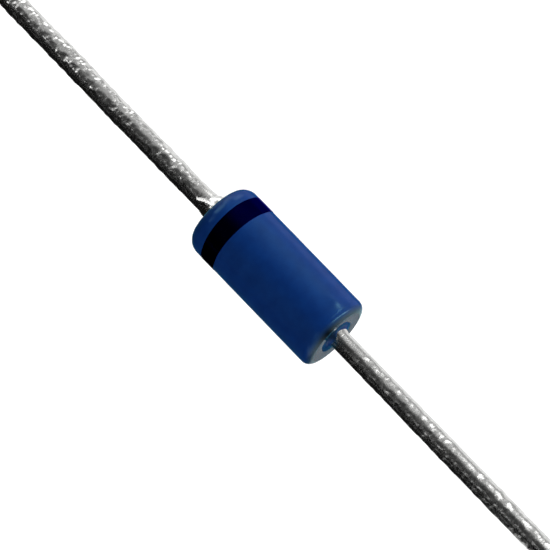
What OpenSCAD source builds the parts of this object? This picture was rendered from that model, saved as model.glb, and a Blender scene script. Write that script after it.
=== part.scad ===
// Axial glass zener diode: a die held between two studs in a fused glass sleeve,
// lacquered blue, with a dark band at the cathode end and a tinned lead at each end.
// The axis of the body is X, its centre is the origin, and the anode lead points to +X.

/* [Glass body] */
// Outside diameter of the body over its lacquer
body_d = 1.85; // [1.6:0.05:2.3]
// Length of the glass sleeve from end face to end face
body_len = 3.9; // [3:0.1:5.1]
// Radius of the fire-polished shoulder at the cathode end
cathode_shoulder = 0.3; // [0.1:0.01:0.34]
// Radius of the fire-polished shoulder at the anode end
anode_shoulder = 0.2; // [0.1:0.01:0.34]
// Radius of the glass lip round each stud
lip = 0.05; // [0.02:0.01:0.1]

/* [Lacquer and band] */
// Thickness of the lacquer on the glass
coat_t = 0.03; // [0.02:0.005:0.05]
// Angle in degrees that the lacquer wraps round the cathode shoulder
cathode_wrap = 80; // [30:1:85]
// Angle in degrees that the lacquer wraps round the anode shoulder
anode_wrap = 55; // [30:1:85]
// Width of the cathode band
band_w = 0.46; // [0.2:0.01:0.8]
// Bare lacquer between the cathode shoulder and the band
band_gap = 0.095; // [0:0.005:0.5]
// Thickness of the band's ink
band_t = 0.02; // [0.01:0.005:0.04]

/* [Studs and die] */
// Diameter of the copper-clad studs
stud_d = 0.82; // [0.6:0.02:0.9]
// Depth of each stud's outer face below the end of the glass
stud_recess = 0.05; // [0.02:0.01:0.2]
// Side of the square silicon die
die_w = 0.4; // [0.25:0.01:0.42]
// Thickness of the silicon die
die_t = 0.14; // [0.1:0.01:0.3]
// Diameter of the silver contact bump on the die
bump_d = 0.26; // [0.1:0.01:0.4]
// Height of the silver contact bump
bump_h = 0.06; // [0.03:0.01:0.1]

/* [Leads] */
// Diameter of the tinned leads
lead_d = 0.5; // [0.4:0.01:0.56]
// Length of each lead beyond the end of the glass
lead_len = 25.4; // [20:0.1:38.1]
// Rounding of each lead's cut end
tip_round = 0.06; // [0.02:0.01:0.15]
// Height that the solder climbs the cathode lead from the end of the glass
solder_climb = 0.33; // [0.1:0.01:0.5]
// Thickness of the lacquer seal on the anode stud
seal_t = 0.04; // [0.02:0.01:0.1]
// Height that the lacquer seal climbs the anode lead above its rim
seal_climb = 0.06; // [0.02:0.01:0.2]

/* [Hidden] */
$fn = 96;

// Radii about the axis
body_r = body_d / 2;
glass_r = body_r - coat_t;
stud_r = stud_d / 2;
lead_r = lead_d / 2;

// Places along the axis, from the centre: the ends of the glass, the studs and the leads
glass_end = body_len / 2;
stud_end = glass_end - stud_recess;
lead_end = glass_end + lead_len;

// The die and its bump fill the space between the inner faces of the studs
stud_gap = die_t + bump_h;
stud_face = stud_gap / 2;

// The straight side of the body runs between the centres of its two shoulder arcs
cathode_side = cathode_shoulder - glass_end;
anode_side = glass_end - anode_shoulder;
band_start = cathode_side + band_gap;

lacquer_blue = [0.06, 0.18, 0.40];
band_navy = [0.01, 0.01, 0.06];
glass_grey = [0.52, 0.57, 0.55];
tin_grey = [0.72, 0.72, 0.70];
solder_grey = [0.80, 0.80, 0.79];
stud_copper = [0.66, 0.40, 0.28];
die_grey = [0.28, 0.29, 0.33];
bump_silver = [0.85, 0.85, 0.84];

// Revolves a half section about X: its first coordinate is the radius, its second is X
module turned() {
    rotate([0, 90, 0]) rotate_extrude() children();
}

// Half section of a plain ring between two radii and two places along the axis
module ring_section(r_in, r_out, x_from, x_to) {
    translate([r_in, x_from]) square([r_out - r_in, x_to - x_from]);
}

// What rounding takes off a square edge at radius r and place x, where the material
// lies inward (-1) or outward (1) of r, and below (-1) or above (1) x
module edge_round(r, x, rounding, radial_side, axial_side) {
    translate([r, x]) difference() {
        square(2 * rounding, center = true);
        translate([radial_side, axial_side] * rounding) circle(rounding);
    }
}

// Half section of the lacquer on a shoulder that looks towards +X, from the side of the
// body to the wrap angle, about the centre of the shoulder's arc
module wrap_section(shoulder, wrap) {
    outer = shoulder + coat_t;
    intersection() {
        difference() {
            circle(outer);
            circle(shoulder);
        }
        square(2 * outer);
        rotate(wrap - 90) square(2 * outer);
    }
}

// Half section of a lead that points to +X, from its stud to its cut end
module wire_section() {
    difference() {
        ring_section(0, lead_r, stud_end, lead_end);
        edge_round(lead_r, lead_end, tip_round, -1, -1);
    }
}

// Half section of what was run round a lead on the stud's outer face, hollowed by an arc from
// the stud's rim to the wire, which it leaves at half the slope of the chord
module meniscus_section(base, climb) {
    spread = stud_r - lead_r;
    half_slope = atan2(spread, climb) / 2;
    arc_r = norm([spread, climb]) / (2 * sin(half_slope));
    top = base + climb;
    difference() {
        ring_section(lead_r, stud_r, stud_end, top + climb / 2);
        translate([lead_r, top] + arc_r * [cos(half_slope), sin(half_slope)]) circle(arc_r);
    }
}

// Half section of a solder bead on the stud's outer face: it falls off slowly from the stud's
// rim to a belly, and more steeply from there to the wire
module bead_section(base, climb) {
    belly_r = lead_r + 0.72 * (stud_r - lead_r);
    polygon([
        [lead_r, stud_end], [stud_r, stud_end], [stud_r, base],
        [belly_r, base + 0.45 * climb], [lead_r, base + climb]
    ]);
}

module glass_sleeve() {
    color(glass_grey) turned() difference() {
        ring_section(stud_r, glass_r, -glass_end, glass_end);
        edge_round(glass_r, -glass_end, cathode_shoulder, -1, 1);
        edge_round(glass_r, glass_end, anode_shoulder, -1, -1);
        edge_round(stud_r, -glass_end, lip, 1, 1);
        edge_round(stud_r, glass_end, lip, 1, -1);
    }
}

module blue_coat() {
    color(lacquer_blue) turned() {
        ring_section(glass_r, body_r, cathode_side, anode_side);
        translate([glass_r - anode_shoulder, anode_side])
            wrap_section(anode_shoulder, anode_wrap);
        translate([glass_r - cathode_shoulder, cathode_side]) mirror([0, 1])
            wrap_section(cathode_shoulder, cathode_wrap);
    }
}

module cathode_band() {
    color(band_navy) turned()
        ring_section(body_r, body_r + band_t, band_start, band_start + band_w);
}

module anode_seal() {
    color(lacquer_blue) turned() meniscus_section(stud_end + seal_t, seal_climb);
}

// The solder fills the recess over the stud, flush with the glass, and climbs from there
module cathode_solder() {
    color(solder_grey) mirror([1, 0, 0]) turned() bead_section(glass_end, solder_climb);
}

module cathode_lead() {
    color(tin_grey) mirror([1, 0, 0]) turned() wire_section();
}

module anode_lead() {
    color(tin_grey) turned() wire_section();
}

module stud() {
    turned() ring_section(0, stud_r, stud_face, stud_end);
}

module cathode_stud() {
    color(stud_copper) mirror([1, 0, 0]) stud();
}

module anode_stud() {
    color(stud_copper) stud();
}

// The die lies on the cathode stud, with the bump on its other face
module silicon_die() {
    color(die_grey) translate([-stud_face, -die_w / 2, -die_w / 2])
        cube([die_t, die_w, die_w]);
}

module silver_bump() {
    color(bump_silver) turned() ring_section(0, bump_d / 2, die_t - stud_face, stud_face);
}

glass_sleeve();
blue_coat();
cathode_band();
anode_seal();
cathode_solder();
cathode_lead();
anode_lead();
cathode_stud();
anode_stud();
silicon_die();
silver_bump();
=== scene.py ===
"""Looks of an axial glass zener diode: lacquered body, dark band and rough tinned leads."""

import math

import bmesh
import bpy
import numpy as np
from mathutils import Matrix, Vector, noise


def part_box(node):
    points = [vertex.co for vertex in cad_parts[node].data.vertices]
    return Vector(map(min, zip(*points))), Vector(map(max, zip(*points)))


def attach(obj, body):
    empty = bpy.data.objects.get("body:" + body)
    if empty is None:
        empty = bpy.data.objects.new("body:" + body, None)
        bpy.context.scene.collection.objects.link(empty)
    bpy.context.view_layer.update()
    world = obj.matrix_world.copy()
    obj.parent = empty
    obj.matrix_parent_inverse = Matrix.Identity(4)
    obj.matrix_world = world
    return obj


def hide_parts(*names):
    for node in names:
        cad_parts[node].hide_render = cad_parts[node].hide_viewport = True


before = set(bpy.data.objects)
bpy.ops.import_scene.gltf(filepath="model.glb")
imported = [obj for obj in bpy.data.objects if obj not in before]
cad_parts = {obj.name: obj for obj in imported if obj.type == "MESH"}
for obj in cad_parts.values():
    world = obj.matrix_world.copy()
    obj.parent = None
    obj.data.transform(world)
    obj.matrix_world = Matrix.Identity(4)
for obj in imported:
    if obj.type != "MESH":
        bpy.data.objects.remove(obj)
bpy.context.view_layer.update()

MM = 0.001
FULL_TURN = 2 * math.pi
QUARTER_TURN = math.pi / 2

# The photograph's view: where the camera stands, and how wide its frame is at the body
AZIMUTH = math.radians(47.53)
ELEVATION = math.radians(71.05)
CAMERA_DISTANCE = 118 * MM
CAMERA_CLIP = 1 * MM
FRAME_WIDTH = 12.28 * MM
SENSOR_MM = 36
SHIFT_RIGHT = 0.0017
SHIFT_UP = 0.0005

AXIS = Vector((1, 0, 0))
to_camera = Vector((
    math.sin(AZIMUTH) * math.cos(ELEVATION),
    -math.cos(AZIMUTH) * math.cos(ELEVATION),
    math.sin(ELEVATION),
))
# Square to the axis: towards the camera, and towards the upper right of the photograph
facing = (to_camera - AXIS * to_camera.dot(AXIS)).normalized()
upper_right = facing.cross(AXIS)


# Sizes that follow the frame

def radius_of(node):
    """The largest distance of a CAD node from the axis of the body."""
    return max(math.hypot(v.co.y, v.co.z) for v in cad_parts[node].data.vertices)


def span_of(node):
    """The lowest and highest place of a CAD node along the axis."""
    low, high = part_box(node)
    return low.x, high.x


body_r = radius_of("blue_coat")
glass_r = radius_of("glass_sleeve")
band_r = radius_of("cathode_band")
stud_r = radius_of("anode_stud")
lead_r = radius_of("anode_lead")
glass_low, glass_high = span_of("glass_sleeve")
band_low, band_high = span_of("cathode_band")
seal_low = span_of("anode_seal")[0]
solder_low, solder_high = span_of("cathode_solder")
cathode_tip, cathode_root = span_of("cathode_lead")
anode_root, anode_tip = span_of("anode_lead")
coat_t = body_r - glass_r

# Shoulders and lips of the glass, and the angles that the lacquer wraps round the shoulders
CATHODE_SHOULDER = 0.30 * MM
ANODE_SHOULDER = 0.20 * MM
CATHODE_WRAP = math.radians(80)
ANODE_WRAP = math.radians(84)
LIP = 0.05 * MM
cathode_side = glass_low + CATHODE_SHOULDER
anode_side = glass_high - ANODE_SHOULDER


# Mesh building

def side_faces(rings, sides, closed):
    """The faces between each ring of points and the next. A closed outline comes back to its first ring."""
    faces = []
    for ring in range(rings if closed else rings - 1):
        here = ring * sides
        there = (ring + 1) % rings * sides
        for side in range(sides):
            after = (side + 1) % sides
            faces.append((here + side, here + after, there + after, there + side))
    return faces


def cap_faces(ring, sides, centre):
    """The faces between one ring of points and the point at its centre."""
    start = ring * sides
    return [(start + side, start + (side + 1) % sides, centre) for side in range(sides)]


def new_piece(name, points, faces):
    """A smooth object whose faces all look outward."""
    mesh = bpy.data.meshes.new(name)
    mesh.from_pydata(points, [], faces)
    shape = bmesh.new()
    shape.from_mesh(mesh)
    bmesh.ops.recalc_face_normals(shape, faces=shape.faces)
    shape.to_mesh(mesh)
    shape.free()
    mesh.shade_smooth()
    piece = bpy.data.objects.new(name, mesh)
    bpy.context.scene.collection.objects.link(piece)
    return piece


def turned(name, x, r, around, closed, shift=0.0):
    """A piece turned about the axis, from arrays of x and r with a row per ring.

    Angles run from the camera's side towards the upper right, which it can be shifted to. A
    closed outline is the section of a ring. An open one is a bar's, and its ends are capped.
    """
    rings, sides = r.shape
    out = np.cos(around)[None, :, None] * np.array(facing)
    out = out + np.sin(around)[None, :, None] * np.array(upper_right)
    points = x[:, :, None] * np.array(AXIS) + r[:, :, None] * out + shift * np.array(upper_right)
    points = points.reshape(-1, 3).tolist()
    faces = side_faces(rings, sides, closed)
    if not closed:
        for ring in (0, rings - 1):
            faces += cap_faces(ring, sides, len(points))
            points.append(list(AXIS * float(x[ring].mean()) + upper_right * shift))
    return new_piece(name, points, faces)


def angles(sides):
    """Angles of the points of a ring, from the camera's side on."""
    return np.linspace(0, FULL_TURN, sides, endpoint=False)


def wrapped(turn):
    """An angle brought to within half a turn of 0."""
    return (turn + math.pi) % FULL_TURN - math.pi


def rows(outline, sides):
    """Repeats an outline of (x, r) pairs round the axis, as arrays of x and r."""
    outline = np.array(outline)
    return np.repeat(outline[:, :1], sides, axis=1), np.repeat(outline[:, 1:], sides, axis=1)


def arc(x, r, radius, start, stop, steps):
    """Points (x, r) of an arc about (x, r), with angles from +r towards +x."""
    return [
        (x + radius * math.sin(a), r + radius * math.cos(a))
        for a in np.linspace(start, stop, steps)
    ]


def grain(x, r, around, wavelength, seed, slant=0.0, stretch=1.0):
    """Smooth noise over a turned surface, of about -1 to 1 with a wavelength in metres.

    Its grains lean along the axis by the slant, and are stretched square to the axis.
    """
    up = r * np.sin(around)
    out = r * np.cos(around)
    places = zip(((x - slant * up) / wavelength).ravel(), (up / wavelength / stretch).ravel(),
                 (out / wavelength / stretch).ravel())
    values = [noise.noise(Vector((a + seed, b, c))) for a, b, c in places]
    return np.array(values).reshape(x.shape)


def smooth(low, high, value):
    """A smooth step from 0 at low to 1 at high."""
    k = np.clip((value - low) / (high - low), 0, 1)
    return k * k * (3 - 2 * k)


def bell(value):
    """A bell curve, which is 1 at 0 and has a spread of 1."""
    return np.exp(-0.5 * value ** 2)


# Node helpers

GRAIN_DETAIL = 3.0


def add(tree, kind, inputs=None, **settings):
    """Adds a node. An input that is a socket is linked, and any other is set."""
    made = tree.nodes.new(kind)
    for key, value in settings.items():
        setattr(made, key, value)
    for key, value in (inputs or {}).items():
        if isinstance(value, bpy.types.NodeSocket):
            tree.links.new(value, made.inputs[key])
        else:
            made.inputs[key].default_value = value
    return made


def ramp(tree, factor, stops):
    """A colour ramp with stops of (place, (r, g, b))."""
    made = add(tree, "ShaderNodeValToRGB", {"Fac": factor})
    elements = made.color_ramp.elements
    while len(elements) < len(stops):
        elements.new(1.0)
    for element, (place, colour) in zip(elements, stops):
        element.position = place
        element.color = (*colour, 1.0)
    return made.outputs["Color"]


def calc(tree, operation, a, b=0.0, c=0.0):
    """The result of a calculation with up to three values."""
    made = add(tree, "ShaderNodeMath", {0: a, 1: b, 2: c}, operation=operation)
    return made.outputs[0]


def blend(tree, factor, first, second):
    """Mixes two colours."""
    made = add(tree, "ShaderNodeMix", {"Factor": factor}, data_type="RGBA")
    for socket, value in ((made.inputs[6], first), (made.inputs[7], second)):
        if isinstance(value, bpy.types.NodeSocket):
            tree.links.new(value, socket)
        else:
            socket.default_value = (*value, 1.0)
    return made.outputs[2]


def new_material(name):
    """A new material with its tree and its Principled shader."""
    material = bpy.data.materials.new(name)
    material.use_nodes = True
    tree = material.node_tree
    return material, tree, tree.nodes["Principled BSDF"]


def set_inputs(shader, values):
    """Sets inputs of a shader to plain values."""
    for name, value in values.items():
        shader.inputs[name].default_value = value


def link_inputs(tree, shader, sockets):
    """Links inputs of a shader to sockets."""
    for name, socket in sockets.items():
        tree.links.new(socket, shader.inputs[name])


def grains(tree, wavelength):
    """Noise in the piece's own coordinates, with a wavelength in metres."""
    place = add(tree, "ShaderNodeTexCoord").outputs["Object"]
    made = add(tree, "ShaderNodeTexNoise", {"Vector": place, "Scale": 1 / wavelength, "Detail": GRAIN_DETAIL})
    return made.outputs["Fac"]


def bump(tree, shader, wavelength, depth):
    """Fine relief on a shader, with a wavelength and a depth in metres."""
    height = grains(tree, wavelength)
    made = add(tree, "ShaderNodeBump", {"Height": height, "Distance": depth, "Strength": 1.0})
    tree.links.new(made.outputs["Normal"], shader.inputs["Normal"])


def mottled(tree, wavelength, dark, light, ends):
    """A colour that wanders from a dark tone to a light one, between two ends of its noise."""
    return ramp(tree, grains(tree, wavelength), [(ends[0], dark), (ends[1], light)])


def gloss_level(tree, stops):
    """A specular level that changes with how far a surface turns away, as on a slightly hazy film."""
    facing_away = add(tree, "ShaderNodeLayerWeight", {"Blend": 0.5}).outputs["Facing"]
    return ramp(tree, facing_away, [(place, (level, level, level)) for place, level in stops])


# Materials

# The ends of the noise between which a colour wanders, and those for tin
MOTTLE = (0.3, 0.7)
TIN_MOTTLE = (0.35, 0.65)
# Specular level where one value has to do, and levels by how far a surface turns away
PLAIN_GLOSS = 0.2
LACQUER_GLOSS = [(0.22, 0.27), (0.3, 0.19), (0.5, 0.05), (0.7, 0.0)]
GLASS_GLOSS = [(0.2, 0.4), (0.6, 0.025)]

LACQUER_DARK = (0.0029, 0.0240, 0.140)
LACQUER_LIGHT = (0.0038, 0.0315, 0.170)
LACQUER_WAVE = 0.3 * MM
LACQUER_TINT = (0.34, 0.88, 0.97, 1.0)
LACQUER_ROUGHNESS = 0.2
LACQUER_SHEEN = 0.25
LACQUER_SHEEN_TINT = (0.22, 1.0, 1.0, 1.0)
LACQUER_SHEEN_ROUGHNESS = 0.3
LACQUER_SKIN_WAVE = 0.05 * MM
LACQUER_SKIN_DEPTH = 0.0012 * MM
# Painted shade tones that the thinned lacquer turns to on the camera's side of the anode end, and the grey it
# thins to elsewhere
FADED_SHADE_DARK = (0.0030, 0.008, 0.014)
FADED_SHADE_LIGHT = (0.0070, 0.014, 0.022)
FADED_PALE = (0.024, 0.050, 0.085)
FADED_WAVE = 0.15 * MM


def lacquer_material():
    """Blue lacquer that thins to the grey of the glass, and is painted dark as shade on the camera's side,
    where the piece says so.
    """
    material, tree, shader = new_material("blue_lacquer")
    thin_and_shade = add(tree, "ShaderNodeAttribute", attribute_name="thin_and_shade").outputs["Fac"]
    pale = add(tree, "ShaderNodeAttribute", attribute_name="pale").outputs["Fac"]
    blue = mottled(tree, LACQUER_WAVE, LACQUER_DARK, LACQUER_LIGHT, MOTTLE)
    # Where it is not pale the thinned lacquer gets a painted shade tone, and its gloss and sheen are taken
    # away there as painted shade too
    grey = mottled(tree, FADED_WAVE, FADED_SHADE_DARK, FADED_SHADE_LIGHT, MOTTLE)
    grey = blend(tree, pale, grey, FADED_PALE)
    shine = calc(tree, "MULTIPLY", gloss_level(tree, GLASS_GLOSS), pale)
    dark = calc(tree, "MULTIPLY", thin_and_shade, calc(tree, "SUBTRACT", 1.0, pale))
    set_inputs(shader, {
        "Specular IOR Level": PLAIN_GLOSS, "Specular Tint": LACQUER_TINT, "Roughness": LACQUER_ROUGHNESS,
        "Sheen Weight": LACQUER_SHEEN, "Sheen Tint": LACQUER_SHEEN_TINT,
        "Sheen Roughness": LACQUER_SHEEN_ROUGHNESS,
    })
    link_inputs(tree, shader, {
        "Base Color": blend(tree, thin_and_shade, blue, grey),
        "Specular IOR Level": blend(tree, thin_and_shade, gloss_level(tree, LACQUER_GLOSS), shine),
        "Sheen Weight": calc(tree, "MULTIPLY_ADD", dark, -LACQUER_SHEEN, LACQUER_SHEEN),
    })
    bump(tree, shader, LACQUER_SKIN_WAVE, LACQUER_SKIN_DEPTH)
    return material


BAND_DARK = (0.0003, 0.0003, 0.028)
BAND_LIGHT = (0.0003, 0.0003, 0.036)
BAND_WAVE = 0.2 * MM
BAND_TINT = (0.05, 0.05, 0.5, 1.0)
BAND_ROUGHNESS = 0.2


def band_material():
    """Near-black ink whose gloss is a deep blue, like that of a dark metal."""
    material, tree, shader = new_material("band_ink")
    set_inputs(shader, {"Metallic": 1.0, "Specular Tint": BAND_TINT, "Roughness": BAND_ROUGHNESS})
    link_inputs(tree, shader, {"Base Color": mottled(tree, BAND_WAVE, BAND_DARK, BAND_LIGHT, MOTTLE)})
    return material


GLASS_DARK = (0.002, 0.045, 0.090)
GLASS_LIGHT = (0.007, 0.068, 0.125)
GLASS_WAVE = 0.15 * MM
GLASS_ROUGHNESS = 0.12
GLASS_SKIN_WAVE = 0.08 * MM
GLASS_SKIN_DEPTH = 0.001 * MM


def glass_material():
    """Fire-polished glass with the dark inside of the sleeve behind it."""
    material, tree, shader = new_material("sleeve_glass")
    set_inputs(shader, {"Specular IOR Level": PLAIN_GLOSS, "Roughness": GLASS_ROUGHNESS})
    link_inputs(tree, shader, {
        "Base Color": mottled(tree, GLASS_WAVE, GLASS_DARK, GLASS_LIGHT, MOTTLE),
        "Specular IOR Level": gloss_level(tree, GLASS_GLOSS),
    })
    bump(tree, shader, GLASS_SKIN_WAVE, GLASS_SKIN_DEPTH)
    return material


# Share of its tone that tin keeps where it is dull, and how far its roughness goes up and down
TIN_DULL = 0.85
TIN_WAVE = 0.12 * MM
TIN_POLISH = 0.25
TIN_POLISH_WAVE = 0.08 * MM
TIN_SKIN_WAVE = 0.03 * MM
TIN_SKIN_DEPTH = 0.002 * MM


def tin_material(name, base, roughness):
    """Dipped tin, uneven in tone and polish."""
    material, tree, shader = new_material(name)
    dark = tuple(TIN_DULL * c for c in base)
    polish = add(tree, "ShaderNodeMapRange", {
        "Value": grains(tree, TIN_POLISH_WAVE), "From Min": MOTTLE[0], "From Max": MOTTLE[1],
        "To Min": roughness * (1 - TIN_POLISH), "To Max": roughness * (1 + TIN_POLISH),
    })
    set_inputs(shader, {"Metallic": 1.0})
    link_inputs(tree, shader, {
        "Base Color": mottled(tree, TIN_WAVE, dark, base, TIN_MOTTLE),
        "Roughness": polish.outputs[0],
    })
    bump(tree, shader, TIN_SKIN_WAVE, TIN_SKIN_DEPTH)
    return material


INNER_DULL = 0.8
INNER_WAVE = 0.1 * MM


def inner_material(name, base, metallic, roughness):
    """A plain tone with slight mottling, for the pieces inside the glass."""
    material, tree, shader = new_material(name)
    dark = tuple(INNER_DULL * c for c in base)
    set_inputs(shader, {"Metallic": metallic, "Roughness": roughness})
    link_inputs(tree, shader, {"Base Color": mottled(tree, INNER_WAVE, dark, base, MOTTLE)})
    return material


LACQUER = lacquer_material()
BAND = band_material()
GLASS = glass_material()
TIN = tin_material("tinned_wire", base=(0.60, 0.60, 0.59), roughness=0.24)
SOLDER = tin_material("bright_solder", base=(0.66, 0.66, 0.65), roughness=0.2)
COPPER = inner_material("stud_copper", base=(0.62, 0.36, 0.25), metallic=1.0, roughness=0.4)
SILICON = inner_material("silicon", base=(0.20, 0.21, 0.25), metallic=0.3, roughness=0.2)
SILVER = inner_material("silver", base=(0.85, 0.85, 0.83), metallic=1.0, roughness=0.25)


def finish_piece(piece, material, node):
    """Gives a piece its material, hides the CAD node it stands for, and hangs it from the root body."""
    piece.data.materials.append(material)
    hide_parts(node)
    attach(piece, "root")


def set_values(piece, name, values):
    """Stores a value at each point of a piece, for its material to read."""
    layer = piece.data.attributes.new(name, "FLOAT", "POINT")
    layer.data.foreach_set("value", np.asarray(values, dtype=np.float32).ravel())


# Pieces of the body

# Points round each of them
BODY_SIDES = 160
# How much longer the anode end is than its solid, and its lean to the lower left as a slope
END_GROWTH = 0.040 * MM
END_LEAN = 0.037
# Places along the axis between which that sets in
END_START = 1.0 * MM
END_FULL = 1.7 * MM


def slanted(x, r, around):
    """Places along the axis, with the anode end leaned: it is not quite square to the axis."""
    share = smooth(END_START, END_FULL, x)
    return x + share * (END_GROWTH - END_LEAN * r * np.sin(around))


# Lacquer

# Points of its section on each shoulder, along its side, and on each shoulder of its inside
CATHODE_STEPS = 28
ANODE_STEPS = 40
SIDE_STEPS = 100
INSIDE_STEPS = 12
# Angles round the anode shoulder between which it thins to a film, and how much earlier towards the camera
FADE_START = math.radians(22)
FADE_END = math.radians(80)
FADE_SHIFT = math.radians(14)
# Thickness of that film at its edge
FILM_T = 0.004 * MM
# Painted shade on the thinned lacquer at the camera's side of the anode end: its turn, how far it spreads,
# and how much earlier the lacquer thins there
SHADE_TURN = math.radians(-7)
SHADE_SPREAD = math.radians(15)
SHADE_SHIFT = math.radians(8)
# Its slight unevenness everywhere
UNEVEN_HEIGHT = 0.003 * MM
UNEVEN_WAVE = 0.5 * MM
UNEVEN_SEED = 2.3
# Its lumps on the cathode shoulder, which fade towards the band between two places along the axis
LUMP_HEIGHT = 0.010 * MM
LUMP_WAVE = 0.17 * MM
LUMP_SEED = 8.2
LUMP_FULL = -1.72 * MM
LUMP_END = -1.60 * MM
# A thick spot near the anode end, whose slope takes a highlight
SPOT_X = 1.54 * MM
SPOT_TURN = math.radians(35)
SPOT_HEIGHT = 0.027 * MM
SPOT_LENGTH = 0.12 * MM
SPOT_SPREAD = math.radians(7)


def thick_spot(x, around):
    """Height of the lacquer's thick spot over the rest of it."""
    along = (x - SPOT_X) / SPOT_LENGTH
    across = (around - SPOT_TURN) / SPOT_SPREAD
    return SPOT_HEIGHT * bell(along) * bell(across)


def painted_shade_share(around):
    """Share of painted shade on the thinned lacquer, from 1 at its darkest to 0."""
    return bell(wrapped(around - SHADE_TURN) / SHADE_SPREAD)


def coat_outline(anode_turn):
    """The lacquer's outside from end to end, and its inside back along the glass, as (x, r) pairs."""
    anode_r = glass_r - ANODE_SHOULDER
    cathode_r = glass_r - CATHODE_SHOULDER
    film = coat_t + (FILM_T - coat_t) * smooth(FADE_START, FADE_END, anode_turn)
    outside = arc(cathode_side, cathode_r, CATHODE_SHOULDER + coat_t, -CATHODE_WRAP, 0, CATHODE_STEPS)
    outside += [(x, body_r) for x in np.linspace(cathode_side, anode_side, SIDE_STEPS)[1:-1]]
    outside += [
        (anode_side + out * math.sin(a), anode_r + out * math.cos(a))
        for a, out in zip(anode_turn, ANODE_SHOULDER + film)
    ]
    inside = arc(anode_side, anode_r, ANODE_SHOULDER, ANODE_WRAP, 0, INSIDE_STEPS)
    inside += arc(cathode_side, cathode_r, CATHODE_SHOULDER, 0, -CATHODE_WRAP, INSIDE_STEPS)
    return outside, inside


def coat_thinness(anode_turn, around, edge, shape):
    """How far the lacquer has thinned at each point, sooner where the painted shade falls. The edge is its
    first point inside.
    """
    earlier = FADE_SHIFT * np.cos(around) + SHADE_SHIFT * painted_shade_share(around)
    thin_and_shade = np.zeros(shape)
    thin_and_shade[edge - ANODE_STEPS:edge] = smooth(FADE_START - earlier, FADE_END - earlier, anode_turn[:, None])
    thin_and_shade[edge:edge + INSIDE_STEPS] = 1
    return thin_and_shade


def make_coat():
    """The lacquer, which is uneven and fades out on the anode shoulder."""
    anode_turn = np.linspace(0, ANODE_WRAP, ANODE_STEPS)
    outside, inside = coat_outline(anode_turn)
    edge = len(outside)
    x, r = rows(outside + inside, BODY_SIDES)
    around = angles(BODY_SIDES)
    on_collar = 1 - smooth(LUMP_FULL, LUMP_END, x)
    uneven = UNEVEN_HEIGHT * grain(x, r, around, UNEVEN_WAVE, UNEVEN_SEED) + thick_spot(x, around)
    uneven += LUMP_HEIGHT * on_collar * grain(x, r, around, LUMP_WAVE, LUMP_SEED)
    uneven[edge:] = 0
    piece = turned("lacquer_coat", slanted(x, r, around), r + uneven, around, closed=True)
    # Shares of thinned lacquer and of painted shade, and the share away from that painted shade
    set_values(piece, "thin_and_shade", coat_thinness(anode_turn, around, edge, x.shape))
    set_values(piece, "pale", np.broadcast_to(1 - painted_shade_share(around), x.shape))
    finish_piece(piece, LACQUER, "blue_coat")


# Glass

SHOULDER_STEPS = 20
LIP_STEPS = 10


def make_glass():
    """The sleeve: rounded shoulders outside and rounded lips at the mouths of its bore."""
    cathode_r = glass_r - CATHODE_SHOULDER
    anode_r = glass_r - ANODE_SHOULDER
    outline = arc(cathode_side, cathode_r, CATHODE_SHOULDER, -QUARTER_TURN, 0, SHOULDER_STEPS)
    outline += arc(anode_side, anode_r, ANODE_SHOULDER, 0, QUARTER_TURN, SHOULDER_STEPS)
    outline += arc(glass_high - LIP, stud_r + LIP, LIP, QUARTER_TURN, 2 * QUARTER_TURN, LIP_STEPS)
    outline += arc(glass_low + LIP, stud_r + LIP, LIP, -2 * QUARTER_TURN, -QUARTER_TURN, LIP_STEPS)
    x, r = rows(outline, BODY_SIDES)
    around = angles(BODY_SIDES)
    piece = turned("glass_tube", slanted(x, r, around), r, around, closed=True)
    finish_piece(piece, GLASS, "glass_sleeve")


# Band

# How far each edge lies from the solid's, and its slopes towards the camera and the upper right
BAND_LEFT = 0.112 * MM
BAND_LEFT_SLOPE = -0.135
BAND_LEFT_RISE = -0.034
BAND_RIGHT = 0.075 * MM
BAND_RIGHT_SLOPE = -0.090
# How far the band's far side is drawn to the cathode end, between these cosines from the camera's side
BAND_DRAW = 0.08 * MM
BAND_DRAW_ENDS = (-0.35, 0.65)
# Its thickness as a share of the solid's, and how far it is sunk in the lacquer
BAND_INK = 0.4
BAND_SINK = 0.002 * MM
# Its softened edge: insets in units of its softness, and heights as shares of its thickness
BAND_SOFTNESS = 0.008 * MM
BAND_EDGE = [(0, 0), (0.2, 0.5), (0.6, 0.9), (1, 1), (2, 1)]


def make_band():
    """The printed band, which is not quite square to the axis and has softened edges."""
    around = angles(BODY_SIDES)
    out = band_r * np.cos(around)
    up = band_r * np.sin(around)
    drawn_back = BAND_DRAW * (1 - smooth(*BAND_DRAW_ENDS, np.cos(around)))
    left = band_low + BAND_LEFT + BAND_LEFT_SLOPE * out + BAND_LEFT_RISE * up - drawn_back
    right = band_high + BAND_RIGHT + BAND_RIGHT_SLOPE * out - drawn_back
    back_edge = BAND_EDGE[::-1]
    x = [left + BAND_SOFTNESS * inset for inset, _ in BAND_EDGE]
    x += [right - BAND_SOFTNESS * inset for inset, _ in back_edge]
    ink_t = BAND_INK * (band_r - body_r)
    heights = [body_r - BAND_SINK + ink_t * lift for _, lift in BAND_EDGE + back_edge]
    r = np.repeat(np.array(heights)[:, None], BODY_SIDES, axis=1)
    piece = turned("ink_band", np.array(x), r, around, closed=True)
    finish_piece(piece, BAND, "cathode_band")


# Seal and solder at the roots of the leads

def root_arc(climb):
    """An arc between the stud's rim and the wire: half the slope of its chord, and its radius."""
    spread = stud_r - lead_r
    half_slope = math.atan2(spread, climb) / 2
    return half_slope, math.hypot(spread, climb) / (2 * math.sin(half_slope))


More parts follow.
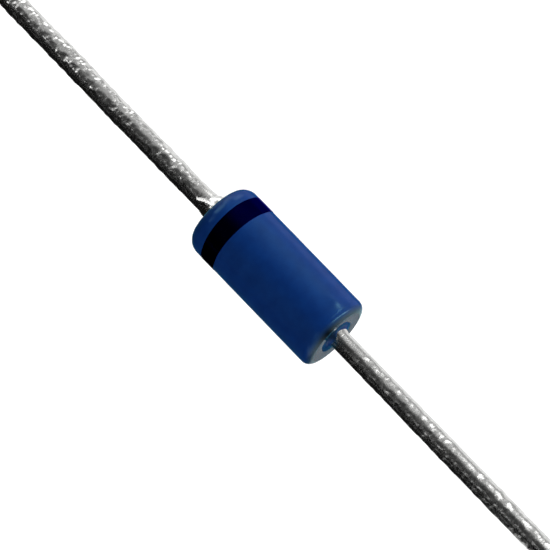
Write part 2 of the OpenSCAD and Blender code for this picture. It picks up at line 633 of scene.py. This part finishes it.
def meniscus(base, top, steps):
    """Points from the rim on the stud to the wire, along the hollow arc between them."""
    half_slope, radius = root_arc(top - base)
    centre_x = top + radius * math.sin(half_slope)
    centre_r = lead_r + radius * math.cos(half_slope)
    return [
        (x, centre_r - math.sqrt(radius ** 2 - (centre_x - x) ** 2))
        for x in np.linspace(base, top, steps)
    ]


def bead_radius(x):
    """Radius of the solder's bulging outside at a place along the axis."""
    half_slope, radius = root_arc(glass_low - solder_low)
    centre_x = glass_low + radius * math.sin(half_slope)
    return stud_r - radius * math.cos(half_slope) + np.sqrt(radius ** 2 - (centre_x - x) ** 2)


# The seal's rim over the lip of the glass, in lips past the end of the glass and past the stud's side
SEAL_OVERLAP = 0.6
SEAL_RIM = [(-0.8, 0.02), (-0.3, 0.3), (0, SEAL_OVERLAP), (0.06, 0.4), (0.09, 0.15)]
# The foot and the crest of its meniscus, in lips past the end of the glass
SEAL_FOOT = 0.1
SEAL_CREST = 0.5
SEAL_STEPS = 20
# How far its bore reaches into the wire, which lies off the axis
SEAL_INSET = 0.05 * MM
# How far it runs out over the glass on the camera's side, and between which cosines from that side
SEAL_SPREAD = 0.13 * MM
SEAL_SPREAD_ENDS = (0.2, 1)
# How far it climbs the lead, less on the lower left by these sines, and how closely it hugs the wire
SEAL_CLIMB = 0.08 * MM
SEAL_CLIMB_ENDS = (-1.3, -0.1)
SEAL_HUG = 3
# A notch in that climb
NOTCH_TURN = math.radians(28)
NOTCH_WIDTH = math.radians(24)
# How far it turns to the painted shade tone where that shade falls on the camera's side
SEAL_SHADE = 0.85


def make_seal():
    """The lacquer seal on the anode stud, which runs out over the lip of the glass."""
    bore_r = lead_r - SEAL_INSET
    foot = glass_high + SEAL_FOOT * LIP
    crest = glass_high + SEAL_CREST * LIP
    outline = [(seal_low, bore_r), (seal_low, stud_r)]
    outline += [(glass_high + past * LIP, stud_r + over * LIP) for past, over in SEAL_RIM]
    outline += meniscus(foot, crest, SEAL_STEPS) + [(crest, bore_r)]
    x, r = rows(outline, BODY_SIDES)
    around = angles(BODY_SIDES)
    climb = SEAL_CLIMB * (1 - bell(wrapped(around - NOTCH_TURN) / NOTCH_WIDTH))
    climb = climb * smooth(*SEAL_CLIMB_ENDS, np.sin(around))
    near_wire = np.clip((stud_r - r) / (stud_r - lead_r), 0, 1) ** SEAL_HUG
    raised = np.where(x > glass_high, x + climb * near_wire, x)
    on_lip = smooth(stud_r, stud_r + SEAL_OVERLAP * LIP, r)
    spread = SEAL_SPREAD * smooth(*SEAL_SPREAD_ENDS, np.cos(around)) * on_lip
    piece = turned("lacquer_seal", slanted(raised, r, around), r + spread, around, closed=True)
    # Painted shade on the camera's side, stored as its share of thinned lacquer
    set_values(piece, "thin_and_shade", np.broadcast_to(SEAL_SHADE * painted_shade_share(around), x.shape))
    finish_piece(piece, LACQUER, "anode_seal")


# Runs of solder on the cathode wire. Each has a start and an end, as a place along the axis in mm and
# a turn in degrees, its reach to the front and to the back, and its height, in mm
RUNS = [
    {"start": (-2.45, -27), "end": (-2.24, -4), "front": 0.028, "back": 0.028, "height": 0.038},
    {"start": (-2.17, 22), "end": (-2.17, 62), "front": 0.160, "back": 0.110, "height": 0.030},
]


def on_wire(place, turn):
    """A point of the unrolled wire in metres, from a place in mm and a turn in degrees."""
    return np.array([place * MM, lead_r * math.radians(turn)])


def solder_runs(x, around):
    """Height of the solder runs over the wire, each a rounded ridge."""
    height = np.zeros(x.shape)
    turn = wrapped(around)
    for run in RUNS:
        start = on_wire(*run["start"])
        way = on_wire(*run["end"]) - start
        off_x = x - start[0]
        off_turn = lead_r * turn - start[1]
        share = np.clip((off_x * way[0] + off_turn * way[1]) / way.dot(way), 0, 1)
        gap = np.hypot(off_x - share * way[0], off_turn - share * way[1])
        in_front = off_turn * way[0] > off_x * way[1]
        reach = np.where(in_front, run["front"], run["back"]) * MM
        height += run["height"] * MM * bell(gap / reach)
    return height


SOLDER_STEPS = 40
# How far its bore reaches into the wire
SOLDER_INSET = 0.025 * MM
# Where it bulges most, its least share of the bulge, and how sharply that falls off
BULGE_TURN = math.radians(50)
BULGE_LEAST = 0.15
BULGE_POWER = 1.2
# Its lumps, and the length over which they and the bulge fade at its ends
SOLDER_LUMPS = 0.006 * MM
SOLDER_WAVE = 0.14 * MM
SOLDER_SEED = 5.9
SOLDER_SLANT = 0.6
SOLDER_FADE = 0.06 * MM


def make_solder():
    """The solder on the cathode stud, which bulges towards the upper right."""
    places = np.linspace(glass_low, solder_low, SOLDER_STEPS)
    bore_r = lead_r - SOLDER_INSET
    bore = [(solder_low, bore_r), (solder_high, bore_r)]
    outline = bore + [(solder_high, stud_r)] + list(zip(places, bead_radius(places)))
    x, r = rows(outline, BODY_SIDES)
    around = angles(BODY_SIDES)
    towards = 0.5 + 0.5 * np.cos(around - BULGE_TURN)
    bulge = BULGE_LEAST + (1 - BULGE_LEAST) * towards ** BULGE_POWER
    lumps = SOLDER_LUMPS * grain(x, r, around, SOLDER_WAVE, SOLDER_SEED, slant=SOLDER_SLANT)
    away = smooth(0, SOLDER_FADE, glass_low - x)
    fade = smooth(0, SOLDER_FADE, x - solder_low)
    flared = lead_r + (r - lead_r) * (1 + (bulge - 1) * away) + lumps * away * fade
    flared = flared + solder_runs(x, around) * away
    flared[:len(bore)] = bore_r
    piece = turned("solder_collar", x, flared, around, closed=True)
    finish_piece(piece, SOLDER, "cathode_solder")


# Leads

WIRE_SIDES = 96
# Steps along a wire near the body and beyond it, and where the first kind ends
NEAR_STEP = 0.012 * MM
FAR_STEP = 0.05 * MM
NEAR_LENGTH = 7.2 * MM
TIP_ROUND = 0.06 * MM
TIP_STEPS = 8
# Distances from the root between which a wire's girth changes
GIRTH_ENDS = (0.5 * MM, 4 * MM)
# The relief of the tin: its grains, finer ones on top of them, and patches that are smoother or rougher
RELIEF_WAVE = 0.18 * MM
RELIEF_SEED = 7
FINE_SHARE = 0.3
FINE_WAVE = 0.08 * MM
FINE_SEED = 13
RELIEF_SLANT = 0.4
RELIEF_STRETCH = 1.1
PATCH_SHARE = 0.9
PATCH_WAVE = 0.9 * MM
PATCH_SEED = 3
# Its slow waves
WAVE_HEIGHT = 0.004 * MM
WAVE_LENGTH = 0.8 * MM
# Near its root the tin has run smooth: the share of relief left, and the distances over which it grows
WETTED_SHARE = 0.2
WETTED_ENDS = (0.6 * MM, 1.0 * MM)
# Tin drawn up round the root of the anode lead, on its upper side by these sines
CONE_SLOPE = 0.3
CONE_LENGTH = 0.21 * MM
CONE_ENDS = (-0.4, 0.3)


def root_cone(x, around):
    """Height of the tin at the anode lead's root over the wire."""
    rise = CONE_SLOPE * np.clip(anode_root + CONE_LENGTH - x, 0, CONE_LENGTH)
    return np.where(x > 0, rise, 0) * smooth(*CONE_ENDS, np.sin(around))


def tin_relief(x, r, around, root, seed, rough):
    """Height of the dipped tin over a wire, with a roughness in metres."""
    lay = {"slant": RELIEF_SLANT, "stretch": RELIEF_STRETCH}
    patches = 1 + PATCH_SHARE * grain(x, r, around, PATCH_WAVE, seed + PATCH_SEED)
    relief = grain(x, r, around, RELIEF_WAVE, seed + RELIEF_SEED, **lay)
    relief += FINE_SHARE * grain(x, r, around, FINE_WAVE, seed + FINE_SEED, **lay)
    wetted = WETTED_SHARE + (1 - WETTED_SHARE) * smooth(*WETTED_ENDS, abs(x - root))
    waves = WAVE_HEIGHT * grain(x, r, around, WAVE_LENGTH, seed)
    return rough * wetted * patches * relief + waves


def make_wire(name, node, root, tip, seed, rough, girth, growth, shift):
    """A tinned wire: a bar with the unevenness of its dipped coat, and a rounded cut end.

    Its girth at the root, and the growth of that further out, are shares of the solid's.
    """
    sign = 1 if tip > root else -1
    length = abs(tip - root)
    straight = np.concatenate([
        np.arange(0, NEAR_LENGTH, NEAR_STEP), np.arange(NEAR_LENGTH, length - TIP_ROUND, FAR_STEP),
    ])
    turn = np.linspace(0, QUARTER_TURN, TIP_STEPS)
    along = np.concatenate([straight, length - TIP_ROUND + TIP_ROUND * np.sin(turn)])
    straight_r = lead_r * (girth + growth * smooth(*GIRTH_ENDS, straight))
    tip_r = lead_r * (girth + growth) - TIP_ROUND + TIP_ROUND * np.cos(turn)
    x, r = rows(list(zip(root + sign * along, np.concatenate([straight_r, tip_r]))), WIRE_SIDES)
    around = angles(WIRE_SIDES)
    relief = tin_relief(x, r, around, root, seed, rough)
    relief += solder_runs(x, around) + root_cone(x, around)
    piece = turned(name, x, r + relief, around, closed=False, shift=shift)
    finish_piece(piece, TIN, node)


make_coat()
make_glass()
make_band()
make_seal()
make_solder()
# Both leads lie a little to the upper right of the body's axis
make_wire("cathode_wire", "cathode_lead", cathode_root, cathode_tip, seed=3.1, rough=0.018 * MM,
          girth=1.045, growth=0.0, shift=0.018 * MM)
make_wire("anode_wire", "anode_lead", anode_root, anode_tip, seed=41.7, rough=0.0105 * MM,
          girth=0.955, growth=0.06, shift=0.025 * MM)

for inner_node, inner in (
    ("cathode_stud", COPPER), ("anode_stud", COPPER), ("silicon_die", SILICON), ("silver_bump", SILVER),
):
    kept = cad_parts[inner_node]
    kept.data.materials.clear()
    kept.data.materials.append(inner)


# Stage

FLOOR_DROP = 20 * MM
FLOOR_HALF = 2.5
FLOOR_GREY = 0.42
FLOOR_GLOW = 0.7
CARD_DROP = 6 * MM
CARD_REACH = 300 * MM
CARD_EDGE = 0.5 * MM
CARD_END = 7 * MM
CARD_GREY = 0.010


def flat_sheet(name, low, high, height, material):
    """A level rectangle of the stage from its low corner to its high corner."""
    mesh = bpy.data.meshes.new(name)
    corners = [(low[0], low[1]), (high[0], low[1]), (high[0], high[1]), (low[0], high[1])]
    mesh.from_pydata([(x, y, height) for x, y in corners], [], [(0, 1, 2, 3)])
    mesh.materials.append(material)
    sheet = bpy.data.objects.new(name, mesh)
    bpy.context.scene.collection.objects.link(sheet)
    return sheet


def matt_material(name, grey):
    """A plain grey without gloss, with its tree and its shader."""
    material, tree, shader = new_material(name)
    set_inputs(shader, {"Base Color": (grey, grey, grey, 1), "Roughness": 1.0, "Specular IOR Level": 0.0})
    return material, tree, shader


def floor_material():
    """A pale floor that reads as white and still takes shadows."""
    material, tree, shader = matt_material("floor_white", FLOOR_GREY)
    path = add(tree, "ShaderNodeLightPath")
    seen = calc(tree, "ADD", path.outputs["Is Camera Ray"], path.outputs["Is Glossy Ray"])
    seen = calc(tree, "ADD", seen, path.outputs["Is Transmission Ray"])
    seen = calc(tree, "MINIMUM", seen, 1.0)
    set_inputs(shader, {"Emission Color": (1, 1, 1, 1)})
    link_inputs(tree, shader, {"Emission Strength": calc(tree, "MULTIPLY", seen, FLOOR_GLOW)})
    return material


flat_sheet("floor", (-FLOOR_HALF, -FLOOR_HALF), (FLOOR_HALF, FLOOR_HALF), -FLOOR_DROP, floor_material())

# A black card below the shadow side darkens that side of the metal, and is seen in gloss only
card = flat_sheet("black_card", (-CARD_REACH, -CARD_REACH), (CARD_END, -CARD_EDGE), -CARD_DROP,
                  matt_material("card_black", CARD_GREY)[0])
card.visible_camera = False
card.visible_diffuse = False
card.visible_transmission = False
card.visible_shadow = False

# Levels of the surroundings, by how far a direction points to the upper right of the photograph
SURROUND = [
    (-1.0, 0.003), (-0.95, 0.003), (-0.87, 0.006), (-0.62, 0.016), (-0.3, 0.034), (-0.14, 0.04),
    (0.03, 0.045), (0.2, 0.085), (0.37, 0.24), (0.53, 0.44), (0.67, 0.55), (0.8, 0.56), (1.0, 0.56),
]
# Level of a pale wall past the anode end, seen in gloss only, and the cosines from the axis where it sets in
WALL_LEVEL = 0.8
WALL_ENDS = (0.35, 0.6)


def make_world():
    """Soft light from the upper right side of the photograph, fading to a dark side."""
    world = bpy.data.worlds.new("studio")
    bpy.context.scene.world = world
    world.use_nodes = True
    tree = world.node_tree
    way = add(tree, "ShaderNodeTexCoord").outputs["Generated"]
    along = add(tree, "ShaderNodeVectorMath", {0: way, 1: tuple(upper_right)}, operation="DOT_PRODUCT")
    place = calc(tree, "MULTIPLY_ADD", along.outputs["Value"], 0.5, 0.5)
    level = ramp(tree, place, [((at + 1) / 2, (grey, grey, grey)) for at, grey in SURROUND])
    ahead = add(tree, "ShaderNodeVectorMath", {0: way, 1: tuple(AXIS)}, operation="DOT_PRODUCT")
    wall = add(tree, "ShaderNodeMapRange", {
        "Value": ahead.outputs["Value"], "From Min": WALL_ENDS[0], "From Max": WALL_ENDS[1],
        "To Min": 0.0, "To Max": WALL_LEVEL,
    })
    in_gloss = add(tree, "ShaderNodeLightPath").outputs["Is Glossy Ray"]
    level = calc(tree, "MAXIMUM", level, calc(tree, "MULTIPLY", wall.outputs[0], in_gloss))
    tree.links.new(level, tree.nodes["Background"].inputs["Color"])


make_world()


# Lamps

LAMP_DISTANCE = 150 * MM
# Each lamp has a name, a turn and a lean, a half width and a half height, all in degrees, and a radiance
KEY_LIGHT = ("key", 52, 1, 3, 26, 3.2)
# Broad lights that are not seen in gloss
BROAD_LIGHTS = [
    ("fill", -50, 14, 26, 26, 1.6),
    ("sky", 78, 0, 20, 25, 5.1),
    ("end_fill", -10, 50, 22, 22, 1.1),
]
# Small windows that are seen in gloss only: on the leads, the shoulders and the solder
WINDOWS = [
    ("glint", -36, 4, 5, 10, 1.3),
    ("low_window", -24, -36, 5, 6, 4.0),
    ("collar_window", 11, -56, 3, 5, 5.0),
    ("spot_window", 62, 0, 5, 9, 3.0),
    ("side_window", 88, -33, 8, 14, 2.5),
    ("end_window", 14, -50, 14, 14, 1.8),
    ("root_window", 76, -60, 14, 20, 2.0),
    ("far_window", 66, 48, 5, 30, 7.0),
]


def direction(turn, lean):
    """A direction turned from the camera's side to the upper right, and leaned along the axis."""
    turn, lean = math.radians(turn), math.radians(lean)
    across = facing * math.cos(turn) + upper_right * math.sin(turn)
    return across * math.cos(lean) + AXIS * math.sin(lean)


def lamp_size(half_angle):
    """The size of a lamp that is seen from the body under a half angle in degrees."""
    return 2 * LAMP_DISTANCE * math.tan(math.radians(half_angle))


def area_lamp(name, turn, lean, half_width, half_height, radiance):
    """A soft lamp that looks at the body, with its width along the axis."""
    way = direction(turn, lean)
    data = bpy.data.lights.new(name, "AREA")
    data.shape = "RECTANGLE"
    data.size = lamp_size(half_width)
    data.size_y = lamp_size(half_height)
    data.energy = radiance * math.pi * lamp_size(half_width) * lamp_size(half_height)
    lamp = bpy.data.objects.new(name, data)
    side = (AXIS - way * AXIS.dot(way)).normalized()
    pose = Matrix((side, way.cross(side), way)).transposed()
    lamp.matrix_world = Matrix.Translation(way * LAMP_DISTANCE) @ pose.to_4x4()
    lamp.visible_camera = False
    bpy.context.scene.collection.objects.link(lamp)
    return lamp


area_lamp(*KEY_LIGHT)
for light in BROAD_LIGHTS:
    area_lamp(*light).visible_glossy = False
for window in WINDOWS:
    area_lamp(*window).visible_diffuse = False


# Camera

camera_data = bpy.data.cameras.new("camera")
camera_data.sensor_width = SENSOR_MM
camera_data.lens = SENSOR_MM * CAMERA_DISTANCE / FRAME_WIDTH
camera_data.shift_x = -SHIFT_RIGHT
camera_data.shift_y = -SHIFT_UP
camera_data.clip_start = CAMERA_CLIP
camera = bpy.data.objects.new("camera", camera_data)
camera.location = to_camera * CAMERA_DISTANCE
camera.rotation_mode = "QUATERNION"
camera.rotation_quaternion = (-to_camera).to_track_quat("-Z", "Y")
bpy.context.scene.collection.objects.link(camera)
bpy.context.scene.camera = camera
bpy.context.scene.view_settings.view_transform = "Standard"
